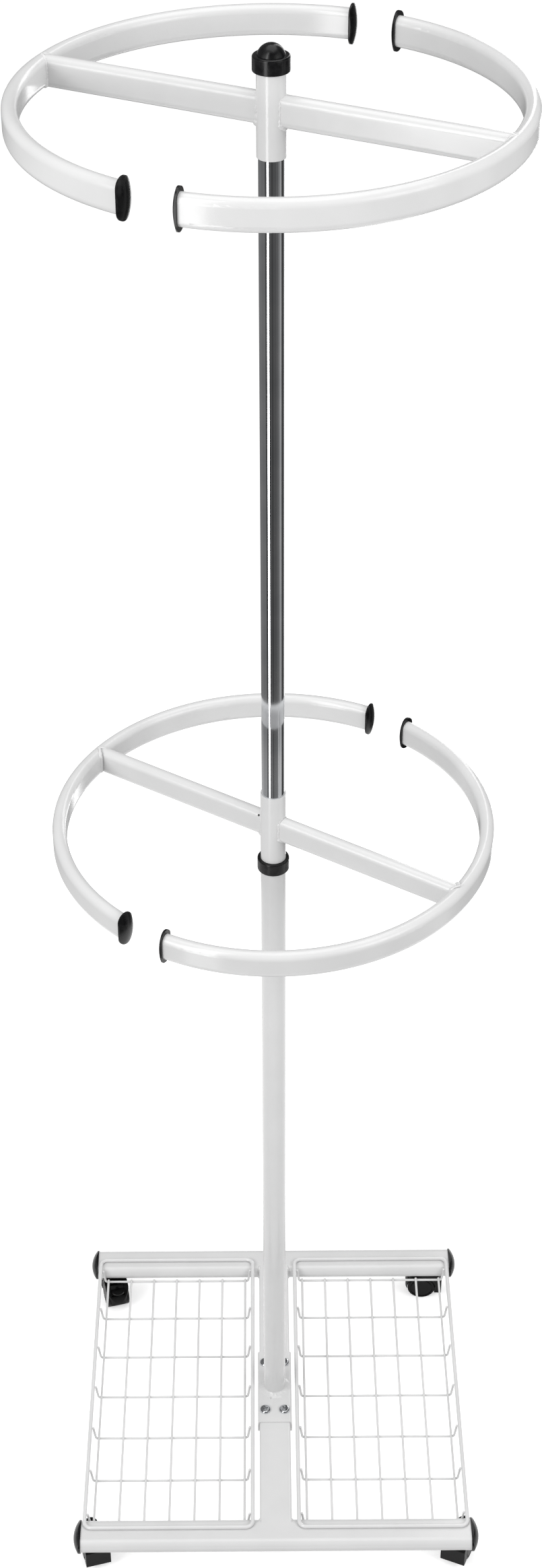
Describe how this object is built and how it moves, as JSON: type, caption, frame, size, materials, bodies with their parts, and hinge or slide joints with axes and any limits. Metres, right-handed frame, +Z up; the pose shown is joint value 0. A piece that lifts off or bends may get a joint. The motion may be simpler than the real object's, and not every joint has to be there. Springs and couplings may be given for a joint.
{
  "type": "round garment rack",
  "caption": "Two-tier turning round garment rack: wheeled base with wire baskets, post and pole, and two split hanging rails on spokes.",
  "frame": {"origin": "on the floor, under the pole's axis", "axes": "+Z up along the pole, front of the rack towards -Y"},
  "size_m": [0.5059, 0.5005, 1.8755],
  "materials": {
    "white_powder_coat": "glossy white powder coat with a fine orange-peel texture",
    "white_wire": "glossy white powder coat on round wire",
    "chrome": "bright chrome plate",
    "black_plastic": "satin black moulded plastic",
    "castor_plastic": "satin black moulded nylon",
    "zinc_screw": "bright zinc plate",
    "steel_pin": "plain turned steel",
    "white_nylon": "natural nylon"
  },
  "bodies": {
    "frame": {"castor_stem_nuts": "steel_pin", "castor_stems": "steel_pin", "centre_beam": "white_powder_coat", "chrome_pole": "chrome", "front_foot_bar": "white_powder_coat", "front_foot_end_caps": "black_plastic", "lower_post": "white_powder_coat", "pole_seat_plug": "white_nylon", "pole_top_plug": "white_nylon", "post_collar": "black_plastic", "rear_foot_bar": "white_powder_coat", "rear_foot_end_caps": "black_plastic", "saddle_bracket": "white_powder_coat", "saddle_nuts": "steel_pin", "saddle_screws": "zinc_screw", "thrust_ball": "steel_pin"},
    "upper_rail": {"top_cap_collar": "black_plastic", "top_cap_dome": "black_plastic", "upper_hub": "white_powder_coat", "upper_left_rail": "white_powder_coat", "upper_left_rail_plugs": "black_plastic", "upper_left_spoke": "white_powder_coat", "upper_right_rail": "white_powder_coat", "upper_right_rail_plugs": "black_plastic", "upper_right_spoke": "white_powder_coat"},
    "lower_rail": {"lower_hub": "white_powder_coat", "lower_left_rail": "white_powder_coat", "lower_left_rail_plugs": "black_plastic", "lower_left_spoke": "white_powder_coat", "lower_right_rail": "white_powder_coat", "lower_right_rail_plugs": "black_plastic", "lower_right_spoke": "white_powder_coat"},
    "left_basket": {"left_basket_cross_wires": "white_wire", "left_basket_long_wires": "white_wire", "left_basket_rim": "white_wire"},
    "right_basket": {"right_basket_cross_wires": "white_wire", "right_basket_long_wires": "white_wire", "right_basket_rim": "white_wire"},
    "front_left_castor": {"front_left_castor_hood": "castor_plastic", "front_left_castor_pins": "steel_pin"},
    "front_left_wheel_a": {"front_left_castor_wheel_a": "castor_plastic"},
    "front_left_wheel_b": {"front_left_castor_wheel_b": "castor_plastic"},
    "front_left_brake": {"front_left_brake_lever": "castor_plastic"},
    "front_right_castor": {"front_right_castor_hood": "castor_plastic", "front_right_castor_pins": "steel_pin"},
    "front_right_wheel_a": {"front_right_castor_wheel_a": "castor_plastic"},
    "front_right_wheel_b": {"front_right_castor_wheel_b": "castor_plastic"},
    "front_right_brake": {"front_right_brake_lever": "castor_plastic"},
    "rear_left_castor": {"rear_left_castor_hood": "castor_plastic", "rear_left_castor_pins": "steel_pin"},
    "rear_left_wheel_a": {"rear_left_castor_wheel_a": "castor_plastic"},
    "rear_left_wheel_b": {"rear_left_castor_wheel_b": "castor_plastic"},
    "rear_left_brake": {"rear_left_brake_lever": "castor_plastic"},
    "rear_right_castor": {"rear_right_castor_hood": "castor_plastic", "rear_right_castor_pins": "steel_pin"},
    "rear_right_wheel_a": {"rear_right_castor_wheel_a": "castor_plastic"},
    "rear_right_wheel_b": {"rear_right_castor_wheel_b": "castor_plastic"},
    "rear_right_brake": {"rear_right_brake_lever": "castor_plastic"}
  },
  "joints": [
    {"name": "upper_rail_spin", "type": "hinge", "parent": "frame", "child": "upper_rail", "pos_m": [0, 0, 1.814], "axis": [0, 0, 1], "continuous": true},
    {"name": "lower_rail_spin", "type": "hinge", "parent": "frame", "child": "lower_rail", "pos_m": [0, 0, 0.994], "axis": [0, 0, 1], "continuous": true},
    {"name": "left_basket_lift", "type": "slide", "parent": "frame", "child": "left_basket", "axis": [0, 0, 1], "range_m": [0, 0.25]},
    {"name": "right_basket_lift", "type": "slide", "parent": "frame", "child": "right_basket", "axis": [0, 0, 1], "range_m": [0, 0.25]},
    {"name": "front_left_castor_swivel", "type": "hinge", "parent": "frame", "child": "front_left_castor", "pos_m": [-0.225, -0.2275, 0.03], "axis": [0, 0, 1], "continuous": true},
    {"name": "front_left_wheel_a_spin", "type": "hinge", "parent": "front_left_castor", "child": "front_left_wheel_a", "pos_m": [-0.22966, -0.21011, 0.019], "axis": [-0.9659, -0.2588, 0], "continuous": true},
    {"name": "front_left_wheel_b_spin", "type": "hinge", "parent": "front_left_castor", "child": "front_left_wheel_b", "pos_m": [-0.22966, -0.21011, 0.019], "axis": [-0.9659, -0.2588, 0], "continuous": true},
    {"name": "front_left_brake_press", "type": "hinge", "parent": "front_left_castor", "child": "front_left_brake", "pos_m": [-0.23225, -0.20045, 0.03], "axis": [-0.9659, -0.2588, 0], "range_deg": [0, 8]},
    {"name": "front_right_castor_swivel", "type": "hinge", "parent": "frame", "child": "front_right_castor", "pos_m": [0.225, -0.2275, 0.03], "axis": [0, 0, 1], "continuous": true},
    {"name": "front_right_wheel_a_spin", "type": "hinge", "parent": "front_right_castor", "child": "front_right_wheel_a", "pos_m": [0.23203, -0.21093, 0.019], "axis": [-0.9205, 0.3907, 0], "continuous": true},
    {"name": "front_right_wheel_b_spin", "type": "hinge", "parent": "front_right_castor", "child": "front_right_wheel_b", "pos_m": [0.23203, -0.21093, 0.019], "axis": [-0.9205, 0.3907, 0], "continuous": true},
    {"name": "front_right_brake_press", "type": "hinge", "parent": "front_right_castor", "child": "front_right_brake", "pos_m": [0.23594, -0.20173, 0.03], "axis": [-0.9205, 0.3907, 0], "range_deg": [0, 8]},
    {"name": "rear_left_castor_swivel", "type": "hinge", "parent": "frame", "child": "rear_left_castor", "pos_m": [-0.225, 0.2275, 0.03], "axis": [0, 0, 1], "continuous": true},
    {"name": "rear_left_wheel_a_spin", "type": "hinge", "parent": "rear_left_castor", "child": "rear_left_wheel_a", "pos_m": [-0.22034, 0.21011, 0.019], "axis": [0.9659, 0.2588, 0], "continuous": true},
    {"name": "rear_left_wheel_b_spin", "type": "hinge", "parent": "rear_left_castor", "child": "rear_left_wheel_b", "pos_m": [-0.22034, 0.21011, 0.019], "axis": [0.9659, 0.2588, 0], "continuous": true},
    {"name": "rear_left_brake_press", "type": "hinge", "parent": "rear_left_castor", "child": "rear_left_brake", "pos_m": [-0.21775, 0.20045, 0.03], "axis": [0.9659, 0.2588, 0], "range_deg": [0, 8]},
    {"name": "rear_right_castor_swivel", "type": "hinge", "parent": "frame", "child": "rear_right_castor", "pos_m": [0.225, 0.2275, 0.03], "axis": [0, 0, 1], "continuous": true},
    {"name": "rear_right_wheel_a_spin", "type": "hinge", "parent": "rear_right_castor", "child": "rear_right_wheel_a", "pos_m": [0.20701, 0.22813, 0.019], "axis": [-0.0349, -0.9994, 0], "continuous": true},
    {"name": "rear_right_wheel_b_spin", "type": "hinge", "parent": "rear_right_castor", "child": "rear_right_wheel_b", "pos_m": [0.20701, 0.22813, 0.019], "axis": [-0.0349, -0.9994, 0], "continuous": true},
    {"name": "rear_right_brake_press", "type": "hinge", "parent": "rear_right_castor", "child": "rear_right_brake", "pos_m": [0.19702, 0.22848, 0.03], "axis": [-0.0349, -0.9994, 0], "range_deg": [0, 8]}
  ]
}
